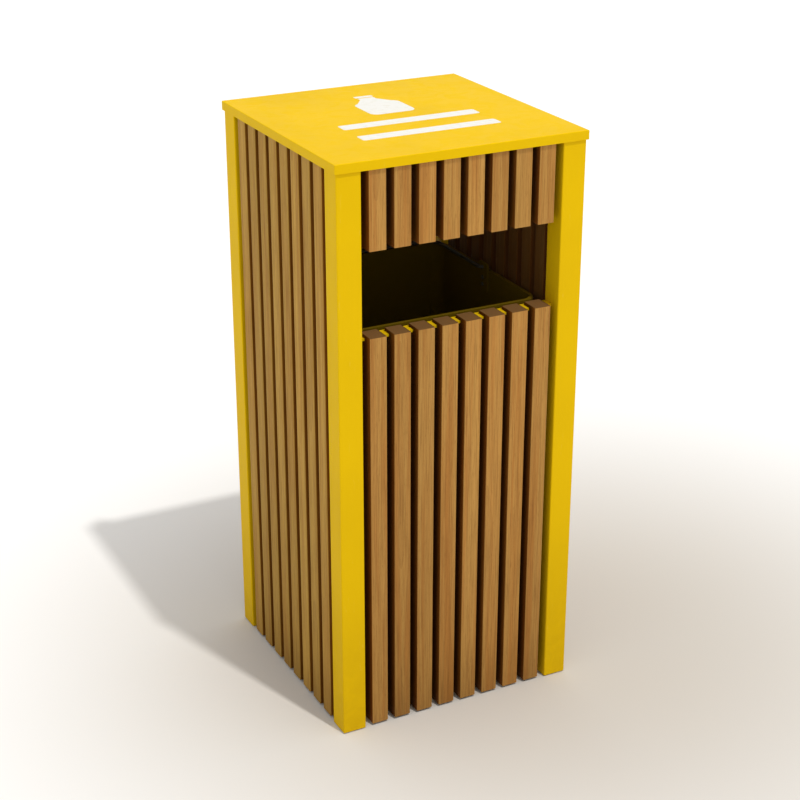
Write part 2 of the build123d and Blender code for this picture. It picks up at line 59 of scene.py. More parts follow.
# ------------------------------------------------------------------- node building
class Graph:
    """Adds nodes and links to one material or one node group."""

    def __init__(self, tree: bpy.types.NodeTree) -> None:
        """Keeps the tree that the nodes go into."""
        self.tree = tree

    def feed(self, socket: bpy.types.NodeSocket, value: Any) -> None:
        """Links a socket to the input, or sets the input to a plain value."""
        if isinstance(value, bpy.types.NodeSocket):
            self.tree.links.new(value, socket)
        else:
            socket.default_value = value

    def node(self, kind: str, inputs: dict[Any, Any] | None = None,
             **settings: Any) -> bpy.types.Node:
        """Adds one node.

        Args:
            kind: Blender's name for the node type.
            inputs: what each input is set to or linked from, by name or place.
            settings: the node's own properties.

        Returns:
            The new node.
        """
        made = self.tree.nodes.new(kind)
        for key, value in settings.items():
            setattr(made, key, value)
        for key, value in (inputs or {}).items():
            self.feed(made.inputs[key], value)
        return made

    def math(self, operation: str, *values: Any, clamp: bool = False) -> bpy.types.NodeSocket:
        """Returns the result of one Math node on up to three values."""
        made = self.node("ShaderNodeMath", dict(enumerate(values)), operation=operation, use_clamp=clamp)
        return made.outputs[0]

    def mix(self, factor: Any, first: Any, second: Any, blend: str = "MIX") -> bpy.types.NodeSocket:
        """Returns two colours mixed by a factor, in the given blend mode."""
        inputs = {0: factor, 6: first, 7: second}
        return self.node("ShaderNodeMix", inputs, data_type="RGBA", blend_type=blend,
                         clamp_result=True).outputs[2]

    def dim(self, colour: Any, factor: Any) -> bpy.types.NodeSocket:
        """Returns a colour with all three parts multiplied by one value."""
        return self.mix(1.0, colour, self.join(factor, factor, factor), "MULTIPLY")

    def band(self, value: Any, low: float, high: float) -> bpy.types.NodeSocket:
        """Returns 0 at low and 1 at high with a smooth step between; high may be the smaller one."""
        inputs = {"Value": value, "From Min": low, "From Max": high}
        return self.node("ShaderNodeMapRange", inputs, interpolation_type="SMOOTHSTEP").outputs[0]

    def noise(self, vector: Any, scale: float, detail: float = 2.0, rough: float = 0.5,
              bend: float = 0.0) -> bpy.types.NodeSocket:
        """Returns a noise value from about 0.2 to 0.8, at so many features per metre of the vector."""
        inputs = {"Vector": vector, "Scale": scale, "Detail": detail, "Roughness": rough,
                  "Distortion": bend}
        return self.node("ShaderNodeTexNoise", inputs).outputs[0]

    def split(self, vector: Any) -> tuple[bpy.types.NodeSocket, ...]:
        """Returns the three parts of a vector."""
        return tuple(self.node("ShaderNodeSeparateXYZ", {0: vector}).outputs)

    def join(self, x: Any, y: Any, z: Any) -> bpy.types.NodeSocket:
        """Returns a vector made of three values."""
        return self.node("ShaderNodeCombineXYZ", {0: x, 1: y, 2: z}).outputs[0]

    def scaled(self, vector: Any, factors: Any) -> bpy.types.NodeSocket:
        """Returns a vector multiplied part by part."""
        made = self.node("ShaderNodeVectorMath", {0: vector, 1: factors}, operation="MULTIPLY")
        return made.outputs[0]

    def place(self) -> bpy.types.NodeSocket:
        """Returns the surface point in the object's own coordinates, in metres."""
        return self.node("ShaderNodeTexCoord").outputs["Object"]

    def upward(self) -> bpy.types.NodeSocket:
        """Returns how far the surface faces up with the lid shut, from -1 to 1, in any pose."""
        return self.split(self.node("ShaderNodeTexCoord").outputs["Normal"])[2]


@dataclass(frozen=True)
class Effect:
    """A shader node group that several materials share, built on first use."""

    name: str
    inputs: tuple[tuple[str, str], ...]
    outputs: tuple[tuple[str, str], ...] = (("Color", "Color"), ("Roughness", "Float"),
                                            ("Height", "Float"))

    def fill(self, graph: Graph, given: bpy.types.Node) -> dict[str, Any]:
        """Adds the group's inner nodes and returns what each output is fed from."""
        raise NotImplementedError

    def tree(self) -> bpy.types.NodeTree:
        """Returns the group, made once."""
        found = bpy.data.node_groups.get(self.name)
        if found:
            return found
        tree = bpy.data.node_groups.new(self.name, "ShaderNodeTree")
        for way, sockets in (("INPUT", self.inputs), ("OUTPUT", self.outputs)):
            for label, kind in sockets:
                tree.interface.new_socket(label, in_out=way, socket_type="NodeSocket" + kind)
        graph = Graph(tree)
        results = self.fill(graph, graph.node("NodeGroupInput"))
        graph.node("NodeGroupOutput", results)
        return tree

    def put(self, graph: Graph, values: dict[str, Any]) -> bpy.types.Node:
        """Places the group in a material with its own values."""
        made = graph.node("ShaderNodeGroup", node_tree=self.tree())
        for label, value in values.items():
            graph.feed(made.inputs[label], value)
        return made


@dataclass(frozen=True)
class WoodGrain(Effect):
    """Sawn and oiled slats standing side by side, each with its own tone and grain.

    Lengths are in metres and scales in features per metre.  Marks are how strongly each kind of grain
    shows.  The spans from arris to deep_shade_in say how far in from a face a mask starts and where it is
    full; shade_in and deep_shade_in place the painted shade on the flanks.  The pith's spans are a spread
    and a shift, and the roughness is a least value and a spread.
    """

    name: str = "wood grain"
    inputs: tuple[tuple[str, str], ...] = (
        ("Across", "Float"), ("Depth", "Float"), ("Along", "Float"), ("Seed", "Float"), ("Pale", "Color"),
        ("Warm", "Color"), ("Dark", "Color"), ("End", "Color"), ("Grime and shade", "Color"), ("Shade", "Color"))
    pitch: float = 0.0408889
    half_width: float = 0.014
    half_depth: float = 0.0175
    panel_middle: float = 0.1915
    pattern_shift: float = 3.0
    length_shift: float = 9.0
    streak_scale: float = 70.0
    fibre_scale: float = 620.0
    pore_scale: float = 1700.0
    wander_scale: float = 14.0
    rings: float = 310.0
    ring_wander: float = 0.016
    pith_aside: Span = (0.12, -0.06)
    pith_behind: Span = (0.05, 0.022)
    fibre_mark: float = 0.42
    ring_mark: float = 0.20
    pore_mark: float = 0.35
    worn_mark: float = 0.55
    tone_least: float = 0.92
    tone_spread: float = 0.16
    arris: Span = (0.0017, 0.0004)
    flank_edge: Span = (0.0012, 0.0003)
    inner_face: Span = (0.0012, 0.0002)
    shade_in: Span = (0.0004, 0.0022)
    deep_shade_in: Span = (0.0040, 0.0160)
    painted_shade_most: float = 0.74
    low_shade_top: float = 0.60
    splash_top: float = 0.12
    roughness: Span = (0.46, 0.22)

    def inward(self, half: float, span: Span) -> Span:
        """Returns a span as two places, measured inwards from the face at that half size."""
        return half - span[0], half - span[1]

    def fill(self, graph: Graph, given: bpy.types.Node) -> dict[str, Any]:
        """Adds the grain.

        The slat's number is the whole part of the place across the panel over the pitch, and it picks a tone
        and a shift of the pattern.  Growth rings are the fraction of the distance from a pith line behind the
        slat times the rings in a metre, raised to a power; streaks and fibres are noise drawn out along the
        slat.  Arrises are where both the place across and the place in depth are near the slat's faces.  The
        flanks get a painted shade from just behind the front face, and deeper in they and the inner face get
        a darker painted shade.  Low down the wood is painted darker towards the ground as painted shade, with
        dirt splashes in the lowest part.

        Args:
            graph: where the nodes go.
            given: the group's input node.

        Returns:
            What the group's colour, roughness and height are fed from.
        """
        out = given.outputs
        number = graph.math("FLOOR", graph.math("DIVIDE", out["Across"], self.pitch))
        pick = graph.node("ShaderNodeTexWhiteNoise", {"Vector": graph.join(number, out["Seed"], 0.0)})
        tone, shift_a, shift_b = graph.split(pick.outputs["Color"])
        centre = graph.math("MULTIPLY", graph.math("ADD", number, 0.5), self.pitch)
        across = graph.math("SUBTRACT", out["Across"], centre)
        side = graph.math("SUBTRACT", graph.math("ABSOLUTE", out["Depth"]), self.panel_middle)
        off_centre = graph.math("ABSOLUTE", across)

        grain = graph.join(graph.math("MULTIPLY_ADD", shift_a, self.pattern_shift, across),
                           graph.math("MULTIPLY_ADD", shift_b, self.pattern_shift, side),
                           graph.math("MULTIPLY_ADD", tone, self.length_shift, out["Along"]))
        streak = graph.noise(graph.scaled(grain, (1.0, 1.0, 0.03)), self.streak_scale, 3.0, 0.55, 0.6)
        fibre = graph.noise(graph.scaled(grain, (1.0, 1.0, 0.02)), self.fibre_scale, 3.0, 0.6)
        pore = graph.noise(graph.scaled(grain, (1.0, 1.0, 0.05)), self.pore_scale, 1.0)
        pores = graph.band(pore, 0.60, 0.72)
        wander = graph.noise(graph.scaled(grain, (0.6, 0.6, 0.12)), self.wander_scale, 2.0)

        pith_a = graph.math("ADD", across, graph.math("MULTIPLY_ADD", shift_a, *self.pith_aside))
        pith_b = graph.math("ADD", side, graph.math("MULTIPLY_ADD", shift_b, *self.pith_behind))
        reach = graph.math("SQRT", graph.math("ADD", graph.math("POWER", pith_a, 2.0),
                                              graph.math("POWER", pith_b, 2.0)))
        reach = graph.math("MULTIPLY_ADD", wander, self.ring_wander, reach)
        ring = graph.math("POWER", graph.math("FRACT", graph.math("MULTIPLY", reach, self.rings)), 2.5)

        colour = graph.mix(graph.band(streak, 0.35, 0.68), out["Pale"], out["Warm"])
        for mask, mark in ((graph.band(fibre, 0.42, 0.70), self.fibre_mark), (ring, self.ring_mark),
                           (pores, self.pore_mark)):
            colour = graph.mix(graph.math("MULTIPLY", mask, mark), colour, out["Dark"])
        colour = graph.dim(colour, graph.math("MULTIPLY_ADD", tone, self.tone_spread, self.tone_least))

        faces_end = graph.band(graph.math("ABSOLUTE", graph.upward()), 0.55, 0.85)
        end = graph.mix(graph.math("MULTIPLY", ring, 0.5), out["End"], out["Dark"])
        colour = graph.mix(faces_end, colour, end)

        near_side = graph.band(off_centre, *self.inward(self.half_width, self.arris))
        near_face = graph.band(graph.math("ABSOLUTE", side), *self.inward(self.half_depth, self.arris))
        worn = graph.math("MULTIPLY", graph.math("MULTIPLY", near_side, near_face),
                          graph.band(streak, 0.25, 0.55), clamp=True)
        colour = graph.mix(graph.math("MULTIPLY", worn, self.worn_mark), colour, out["Pale"])

        # painted shade: the flanks are darkened from just behind the front face, the deeper flanks and the
        # inner face darker still
        flank = graph.band(off_centre, *self.inward(self.half_width, self.flank_edge))
        shaded = graph.math("MULTIPLY", flank,
                            graph.band(side, *self.inward(self.half_depth, self.shade_in)))
        colour = graph.mix(shaded, colour, out["Shade"], "MULTIPLY")
        deep = graph.math("MULTIPLY", flank,
                          graph.band(side, *self.inward(self.half_depth, self.deep_shade_in)))
        inside_start, inside_full = self.inward(self.half_depth, self.inner_face)
        sheltered_shade = graph.math("MAXIMUM", deep, graph.band(side, -inside_start, -inside_full))
        colour = graph.mix(graph.math("MULTIPLY", sheltered_shade, self.painted_shade_most), colour, out["Grime and shade"])

        # painted shade darkening towards the ground, plus real dirt splashes in the lowest part
        spots = graph.math("MULTIPLY", graph.band(out["Along"], self.splash_top, 0.0),
                           graph.math("MULTIPLY", graph.band(wander, 0.35, 0.6), 0.18))
        darker_low_down = graph.math("MULTIPLY_ADD", graph.band(out["Along"], self.low_shade_top, 0.02), 0.16, spots)
        colour = graph.mix(darker_low_down, colour, out["Grime and shade"])

        least, spread = self.roughness
        rough = graph.math("MULTIPLY_ADD", fibre, spread, least)
        rough = graph.math("MULTIPLY_ADD", faces_end, 0.18, rough, clamp=True)
        height = graph.math("ADD", graph.math("MULTIPLY", fibre, 0.55),
                            graph.math("MULTIPLY", ring, -0.25))
        height = graph.math("SUBTRACT", height, graph.math("MULTIPLY", pores, 0.3))
        return {"Color": colour, "Roughness": rough, "Height": height}


@dataclass(frozen=True)
class CoatedSheet(Effect):
    """Baked powder coating: orange peel, a little drift in tone, painted light on tops, painted shade and
    splashes low down.

    Heights are in metres above the ground and scales in features per metre.
    """

    name: str = "coated sheet"
    inputs: tuple[tuple[str, str], ...] = (("Paint", "Color"), ("Deep", "Color"), ("Dust", "Color"),
                                           ("Dirt and shade", "Float"), ("Gloss", "Float"))
    peel_scale: float = 420.0
    fine_scale: float = 1500.0
    drift_scale: float = 4.5
    patch_scale: float = 38.0
    scratch_scale: float = 260.0
    upright_painted_shade: float = 0.845
    drift_mark: float = 0.16
    low_shade_top: float = 0.62
    splash_top: float = 0.25
    shade_and_splash_mark: float = 0.38
    dust_mark: float = 0.05
    scratch_mark: float = 0.18

    def fill(self, graph: Graph, given: bpy.types.Node) -> dict[str, Any]:
        """Adds the coating.

        Two scales of noise make the peel and one the drift in tone.  Upright faces are painted a little
        darker than top faces as painted shade, a painted shade deepens towards the ground with dirt splashes
        in it, and dust and scratches are masks of noise.

        Args:
            graph: where the nodes go.
            given: the group's input node.

        Returns:
            What the group's colour, roughness and height are fed from.
        """
        out = given.outputs
        place = graph.place()
        height = graph.split(place)[2]
        facing = graph.upward()
        peel = graph.noise(place, self.peel_scale, 2.0, 0.5)
        fine = graph.noise(place, self.fine_scale, 1.0)
        drift = graph.noise(place, self.drift_scale, 3.0, 0.55)
        patch = graph.noise(place, self.patch_scale, 4.0, 0.6, 0.8)
        scratch = graph.noise(graph.scaled(place, (1.0, 1.0, 0.12)), self.scratch_scale, 2.0, 0.5, 1.2)

        # painted light: faces turned up are painted lighter than upright faces
        lit_top = graph.band(facing, 0.3, 0.9)
        shade = graph.math("MULTIPLY_ADD", lit_top, 1.0 - self.upright_painted_shade, self.upright_painted_shade)
        colour = graph.dim(out["Paint"], shade)
        drifted = graph.math("MULTIPLY", graph.band(drift, 0.35, 0.7), self.drift_mark)
        colour = graph.mix(drifted, colour, out["Deep"])

        darker_low_down = graph.math("MULTIPLY", graph.band(height, self.splash_top, 0.0),
                            graph.band(patch, 0.30, 0.68))
        # painted shade darkening towards the ground, with the dirt splashes mixed in
        low = graph.math("MULTIPLY_ADD", graph.band(height, self.low_shade_top, 0.0), 0.8,
                         graph.math("MULTIPLY", darker_low_down, 0.5))
        low = graph.math("MULTIPLY", low, graph.math("MULTIPLY", out["Dirt and shade"], self.shade_and_splash_mark))
        colour = graph.mix(low, colour, out["Deep"])
        settled = graph.math("MULTIPLY", graph.band(facing, 0.6, 0.95), graph.band(patch, 0.42, 0.75))
        settled = graph.math("MULTIPLY", settled, out["Dirt and shade"])
        colour = graph.mix(graph.math("MULTIPLY", settled, self.dust_mark), colour, out["Dust"])
        rubbed = graph.math("MULTIPLY", graph.band(scratch, 0.70, 0.78), out["Dirt and shade"])
        colour = graph.mix(graph.math("MULTIPLY", rubbed, self.scratch_mark), colour, out["Dust"])

        rough = graph.math("MULTIPLY_ADD", patch, 0.16, out["Gloss"])
        rough = graph.math("MULTIPLY_ADD", rubbed, 0.15, rough)
        rough = graph.math("MULTIPLY_ADD", settled, 0.20, rough, clamp=True)
        bump = graph.math("MULTIPLY_ADD", fine, 0.25, peel)
        return {"Color": colour, "Roughness": rough, "Height": bump}


@dataclass(frozen=True)
class FineTexture(Effect):
    """Fine noise drawn out along one axis, for turned, brushed or moulded small parts."""

    name: str = "fine texture"
    inputs: tuple[tuple[str, str], ...] = (("Stretch", "Vector"), ("Scale", "Float"), ("Base", "Color"),
                                           ("Stain", "Color"), ("Gloss", "Float"))
    stain_scale: float = 90.0
    stain_mark: float = 0.45

    def fill(self, graph: Graph, given: bpy.types.Node) -> dict[str, Any]:
        """Adds one stretched noise for the marks and one broad noise for the stains.

        Args:
            graph: where the nodes go.
            given: the group's input node.

        Returns:
            What the group's colour, roughness and height are fed from.
        """
        out = given.outputs
        place = graph.place()
        marks = graph.noise(graph.scaled(place, out["Stretch"]), out["Scale"], 3.0)
        stain = graph.band(graph.noise(place, self.stain_scale, 3.0, 0.6), 0.45, 0.75)
        colour = graph.mix(graph.math("MULTIPLY", stain, self.stain_mark), out["Base"], out["Stain"])
        rough = graph.math("MULTIPLY_ADD", marks, 0.22, out["Gloss"])
        rough = graph.math("MULTIPLY_ADD", stain, 0.12, rough, clamp=True)
        return {"Color": colour, "Roughness": rough, "Height": marks}


@dataclass(frozen=True)
class PaleGround(Effect):
    """A pale studio floor, painted a little warmer and greyer where the bin stands as painted shade."""

    name: str = "pale ground"
    inputs: tuple[tuple[str, str], ...] = (("Near", "Color"), ("Far", "Color"), ("Middle", "Vector"))
    near: float = 0.15
    far: float = 1.3
    speckle_scale: float = 130.0

    def fill(self, graph: Graph, given: bpy.types.Node) -> dict[str, Any]:
        """Adds a smooth step between the two tones by the distance from the middle, and a faint speckle.

        Args:
            graph: where the nodes go.
            given: the group's input node.

        Returns:
            What the group's colour, roughness and height are fed from.
        """
        out = given.outputs
        place = graph.place()
        away = graph.node("ShaderNodeVectorMath", {0: place, 1: out["Middle"]},
                          operation="DISTANCE").outputs["Value"]
        speckle = graph.noise(place, self.speckle_scale, 3.0)
        colour = graph.mix(graph.band(away, self.near, self.far), out["Near"], out["Far"])
        rough = graph.math("MULTIPLY_ADD", speckle, 0.1, 0.6)
        return {"Color": colour, "Roughness": rough, "Height": speckle}


# -------------------------------------------------------------------------- finishes
class Across(Enum):
    """The axis along which a panel's slats stand side by side."""

    X = 0
    Y = 1


@dataclass(frozen=True)
class Finish:
    """One finish: its name, how metallic and shiny it is, and the depth of its relief in metres."""

    name: str
    metallic: float = 0.0
    shine: float = 0.5
    relief: float = 0.0001
    strength: float = 0.3

    def surface(self, graph: Graph) -> bpy.types.Node:
        """Adds the effect that gives Color, Roughness and Height."""
        raise NotImplementedError

    def build(self) -> bpy.types.Material:
        """Returns the material, made once."""
        found = bpy.data.materials.get(self.name)
        if found:
            return found
        material = bpy.data.materials.new(self.name)
        material.use_nodes = True
        material.node_tree.nodes.clear()
        graph = Graph(material.node_tree)
        effect = self.surface(graph)
        bump = graph.node("ShaderNodeBump", {"Strength": self.strength, "Distance": self.relief,
                                             "Height": effect.outputs["Height"]})
        shader = graph.node("ShaderNodeBsdfPrincipled", {
            "Base Color": effect.outputs["Color"], "Roughness": effect.outputs["Roughness"],
            "Metallic": self.metallic, "Specular IOR Level": self.shine, "Normal": bump.outputs[0]})
        graph.node("ShaderNodeOutputMaterial", {"Surface": shader.outputs[0]})
        return material


@dataclass(frozen=True)
class OiledSlats(Finish):
    """Oiled hardwood slats of one panel, with the oil's slight sheen."""

    across: Across = Across.X
    seed: float = 0.0
    shine: float = 0.05
    relief: float = 0.0004
    strength: float = 0.45
    pale: Colour = (0.460, 0.243, 0.062, 1.0)
    warm: Colour = (0.400, 0.176, 0.040, 1.0)
    dark: Colour = (0.170, 0.070, 0.016, 1.0)
    end: Colour = (0.190, 0.098, 0.034, 1.0)
    # grime_and_shade paints shade into the gaps, on the inner face and low down, and colours the dirt
    # splashes; shade is the flanks' painted shade tint
    grime_and_shade: Colour = (0.042, 0.0135, 0.0015, 1.0)
    shade: Colour = (0.52, 0.34, 0.17, 1.0)

    def surface(self, graph: Graph) -> bpy.types.Node:
        """Adds the grain, turned the way the panel stands."""
        x, y, z = graph.split(graph.place())
        across, depth = (x, y) if self.across is Across.X else (y, x)
        return WoodGrain().put(graph, {
            "Across": across, "Depth": depth, "Along": z, "Seed": self.seed, "Pale": self.pale,
            "Warm": self.warm, "Dark": self.dark, "End": self.end, "Grime and shade": self.grime_and_shade,
            "Shade": self.shade})


@dataclass(frozen=True)
class PowderCoat(Finish):
    """Satin powder coating over sheet steel, which holds back the shine."""

    paint: Colour = (0.865, 0.548, 0.003, 1.0)
    deep: Colour = (0.50, 0.300, 0.005, 1.0)
    dust: Colour = (0.84, 0.62, 0.14, 1.0)
    # dirt_and_shade scales the painted shade low down as well as the splashes, dust and scratches
    dirt_and_shade: float = 1.0
    gloss: float = 0.30
    shine: float = 0.02
    relief: float = 0.0003
    strength: float = 0.18

    def surface(self, graph: Graph) -> bpy.types.Node:
        """Adds the coating."""
        return CoatedSheet().put(graph, {"Paint": self.paint, "Deep": self.deep, "Dust": self.dust,
                                         "Dirt and shade": self.dirt_and_shade, "Gloss": self.gloss})


@dataclass(frozen=True)
class SmallPart(Finish):
    """Turned, brushed, drawn or moulded small parts."""

    stretch: Point = (1.0, 1.0, 1.0)
    scale: float = 900.0
    base: Colour = (0.5, 0.5, 0.5, 1.0)
    stain: Colour = (0.35, 0.34, 0.32, 1.0)
    gloss: float = 0.25

    def surface(self, graph: Graph) -> bpy.types.Node:
        """Adds the fine texture."""
        return FineTexture().put(graph, {"Stretch": self.stretch, "Scale": self.scale, "Base": self.base,
                                         "Stain": self.stain, "Gloss": self.gloss})


@dataclass(frozen=True)
class StudioFloor(Finish):
    """The floor's finish, without shine; its near tone is a painted shade round the bin."""

    shine: float = 0.0
    # near is the painted shade on the floor round the bin; far is the plain pale floor
    near: Colour = (0.63, 0.59, 0.535, 1.0)
    far: Colour = (0.97, 0.968, 0.962, 1.0)
    middle: Point = (0.25, -0.10, 0.0)

    def surface(self, graph: Graph) -> bpy.types.Node:
        """Adds the ground's two tones."""
        return PaleGround().put(graph, {"Near": self.near, "Far": self.far, "Middle": self.middle})


steel_coat = PowderCoat("yellow powder coat")
# the liner's coat is the yellow paint darkened to a painted shade, for the shade inside the bin
liner_coat = PowderCoat("shaded liner coat", paint=(0.135, 0.086, 0.003, 1.0),
                        deep=(0.07, 0.042, 0.004, 1.0), dust=(0.16, 0.12, 0.05, 1.0), gloss=0.42)
black_plastic = SmallPart("black moulded plastic", relief=0.0002, strength=0.35, scale=1400.0,
                          base=(0.022, 0.022, 0.023, 1.0), stain=(0.05, 0.047, 0.042, 1.0), gloss=0.42)
stainless = SmallPart("brushed stainless steel", metallic=1.0, relief=0.00005, stretch=(1.0, 1.0, 0.15),
                      scale=2200.0, base=(0.56, 0.55, 0.53, 1.0), stain=(0.36, 0.33, 0.29, 1.0), gloss=0.22)
plated = SmallPart("plated lock metal", metallic=1.0, relief=0.00004, stretch=(1.0, 0.2, 1.0), scale=1800.0,
                   base=(0.66, 0.65, 0.63, 1.0), stain=(0.45, 0.43, 0.40, 1.0), gloss=0.14)
wire = SmallPart("weathered wire", metallic=0.6, relief=0.0001, strength=0.4, scale=700.0,
                 base=(0.075, 0.064, 0.046, 1.0), stain=(0.040, 0.030, 0.018, 1.0), gloss=0.50)
# the rivets' steel is darkened to a painted shade, for the shade inside the liner
shade_dark_rivets = SmallPart("rivet steel in painted shade", metallic=0.8, relief=0.00005, scale=1200.0,
                        base=(0.11, 0.10, 0.08, 1.0), stain=(0.06, 0.05, 0.035, 1.0), gloss=0.5)
film = SmallPart("white sign film", relief=0.00003, strength=0.15, scale=500.0,
                 base=(0.86, 0.85, 0.80, 1.0), stain=(0.74, 0.71, 0.60, 1.0), gloss=0.38)
floor_paint = StudioFloor("pale floor", relief=0.0001, strength=0.05)


def dress(nodes: Sequence[str], finish: Finish) -> None:
    """Puts a finish on CAD nodes.

    Args:
        nodes: the nodes' names.
        finish: what they are made of or coated with.
    """
    material = finish.build()
    for name in nodes:
        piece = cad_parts[name]
        if not piece.material_slots:
            piece.data.materials.append(material)
        for slot in piece.material_slots:
            slot.material = material
    log.info("%s: %s", finish.name, ", ".join(nodes))


# ------------------------------------------------------------------------ weld beads
@dataclass(frozen=True)
class Bead:
    """One weld bead laid in a corner from start to end, with the corner's two open directions."""

    start: Point
    end: Point
    first: Point
    second: Point
    radius: float = 0.0019
    ripple: float = 0.16
    step: float = 0.0022
    per_step: int = 5
    fewest: int = 12
    around: int = 12

    def arrays(self) -> tuple[np.ndarray, np.ndarray, np.ndarray]:
        """Works out the bead's surface.

        At distance s along the bead and angle a round it, a point is the corner's line at s plus r(s)
        times (cos a along the first direction + sin a along the second).  r(s) is the radius times one plus
        a ripple of |sin(pi s / step)|, and over two radii at each end it falls to nothing like the root of
        the distance to the end.

        Returns:
            The points, the four-sided faces, and the three-sided faces that close the two ends.
        """
        start, end = np.array(self.start), np.array(self.end)
        length = float(np.linalg.norm(end - start))
        count = max(self.fewest, int(length / self.step * self.per_step))
        s = np.linspace(0.0, length, count)
        to_end = np.clip(np.minimum(s, length - s) / (2.0 * self.radius), 0.0, 1.0)
        ripple = 1.0 + self.ripple * np.abs(np.sin(np.pi * s / self.step))
        radius = self.radius * np.sqrt(to_end) * ripple
        a = np.linspace(0.0, 2.0 * np.pi, self.around, endpoint=False)
        line = start + (end - start) * (s / length)[:, None]
        turn = np.cos(a)[:, None] * np.array(self.first) + np.sin(a)[:, None] * np.array(self.second)
        rings = line[1:-1, None, :] + radius[1:-1, None, None] * turn[None, :, :]
        points = np.vstack([rings.reshape(-1, 3), start, end])
        ring, column = np.meshgrid(np.arange(count - 3), np.arange(self.around), indexing="ij")
        here = ring * self.around + column
        beside = ring * self.around + (column + 1) % self.around
        quads = np.stack([here, beside, beside + self.around, here + self.around], -1).reshape(-1, 4)
        spoke = np.arange(self.around)
        after = (spoke + 1) % self.around
        last = (count - 3) * self.around
        pole = len(points) - 2
        low = np.stack([np.full(self.around, pole), after, spoke], -1)
        high = np.stack([np.full(self.around, pole + 1), last + spoke, last + after], -1)
        tris = np.vstack([low, high])
        if np.dot(np.cross(self.first, self.second), end - start) < 0.0:
            quads, tris = quads[:, ::-1], tris[:, ::-1]
        return points, quads, tris


def bead_piece(name: str, beads: Sequence[Bead], body: str, finish: Finish) -> bpy.types.Object:
    """Makes one piece of many weld beads.

    Args:
        name: the piece's name.
        beads: the beads.
        body: the CAD body that the piece rides on.
        finish: its finish.

    Returns:
        The new object.
    """
    points, faces, offset = [], [], 0
    for bead in beads:
        spots, quads, tris = bead.arrays()
        points.append(spots)
        faces += (quads + offset).tolist() + (tris + offset).tolist()
        offset += len(spots)
    mesh = bpy.data.meshes.new(name)
    mesh.from_pydata(np.vstack(points).tolist(), [], faces)
    mesh.shade_smooth()
    mesh.materials.append(finish.build())
    piece = bpy.data.objects.new(name, mesh)
    bpy.context.scene.collection.objects.link(piece)
    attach(piece, body)
    log.info("%s: %d beads, %d faces", name, len(beads), len(faces))
    return piece


# ----------------------------------------------------------------------- the bin itself
@dataclass
class SteelFrame:
    """Posts, rails and base plate, welded together, with plastic feet and caps."""

    flange_thick: float = 0.004
    bead_gap: float = 0.001
    stitch_length: float = 0.036
    stitch_places: tuple[float, ...] = (-0.12, 0.0, 0.12)
    posts: tuple[str, ...] = ("post_front_left", "post_front_right", "post_rear_left",
                              "post_rear_right")
    front_rails: tuple[str, ...] = ("front_bottom_rail", "front_sill_rail", "front_header_rail",
                                    "front_top_rail")
    ring_rails: tuple[str, ...] = ("front_bottom_rail", "front_top_rail")
    side_rails: tuple[str, ...] = ("left_rails", "right_rails", "rear_rails")

    def dress(self) -> None:
        """Coats the steel and gives the feet and caps their plastic."""
        dress(self.posts + self.front_rails + self.side_rails + ("base_plate",), steel_coat)
        dress(("post_feet", "post_caps"), black_plastic)

    def rail_beads(self) -> list[Bead]:
        """Lays an upright bead at each end of each rail, in the corner with the post.

        The front's beads are turned about the bin's middle by quarter turns for the other sides, which have
        a bottom and a top rail only.  The sill rail's beads stop below its flange.

        Returns:
            The beads.
        """
        beads = []
        heights = {name: (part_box(name)[0].z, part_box(name)[1].z) for name in self.front_rails}
        sill_low, sill_high = heights["front_sill_rail"]
        heights["front_sill_rail"] = (sill_low, sill_high - self.flange_thick)
        half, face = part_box("front_bottom_rail")[1].x, abs(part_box("front_bottom_rail")[0].y)
        for quarter, (cos, sin) in enumerate(((1, 0), (0, 1), (-1, 0), (0, -1))):
            for rail in self.ring_rails if quarter else self.front_rails:
                low, high = heights[rail]
                for side in (-1.0, 1.0):
                    spot = (cos * side * half + sin * face, sin * side * half - cos * face)
                    inward = (-side * cos, -side * sin, 0.0)
                    outward = (sin, -cos, 0.0)
                    beads.append(Bead((*spot, low + self.bead_gap), (*spot, high - self.bead_gap),
                                      inward, outward))
        return beads

    def plate_beads(self) -> list[Bead]:
        """Returns stitches between the base plate's top and the bottom rails."""
        low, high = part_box("base_plate")
        up = (0.0, 0.0, 1.0)
        beads = []
        for place in self.stitch_places:
            near, far = place - self.stitch_length / 2, place + self.stitch_length / 2
            for side, edge in ((-1.0, low), (1.0, high)):
                beads += [Bead((near, edge.y, high.z), (far, edge.y, high.z), (0.0, -side, 0.0), up),
                          Bead((edge.x, near, high.z), (edge.x, far, high.z), (-side, 0.0, 0.0), up)]
        return beads

    def build(self) -> None:
        """Dresses the frame and lays its welds."""
        self.dress()
        bead_piece("frame_welds", self.rail_beads() + self.plate_beads(), "housing", steel_coat)


@dataclass
class SlatWalls:
    """The slats of all four sides and the screws that hold them."""

    count: int = 8

    def build(self) -> None:
        """Gives each panel its own run of the wood, the left one lightened as painted light, and the screws
        their steel.
        """
        numbers = range(1, self.count + 1)
        dress([f"front_slat_{n}" for n in numbers], OiledSlats("oiled wood front", seed=1.3))
        dress(["upper_slats"], OiledSlats("oiled wood above the opening", seed=2.9))
        dress(["rear_slats"], OiledSlats("oiled wood rear", seed=4.1))
        # painted light: the left panel's pale and warm tones are lighter and more olive than the other
        # panels'
        dress([f"left_slat_{n}" for n in numbers],
              OiledSlats("oiled wood left", across=Across.Y, seed=5.7, pale=(0.475, 0.280, 0.056, 1.0),
                         warm=(0.400, 0.208, 0.038, 1.0)))
        dress([f"right_slat_{n}" for n in numbers],
              OiledSlats("oiled wood right", across=Across.Y, seed=7.2))
        dress(["slat_screws"], stainless)


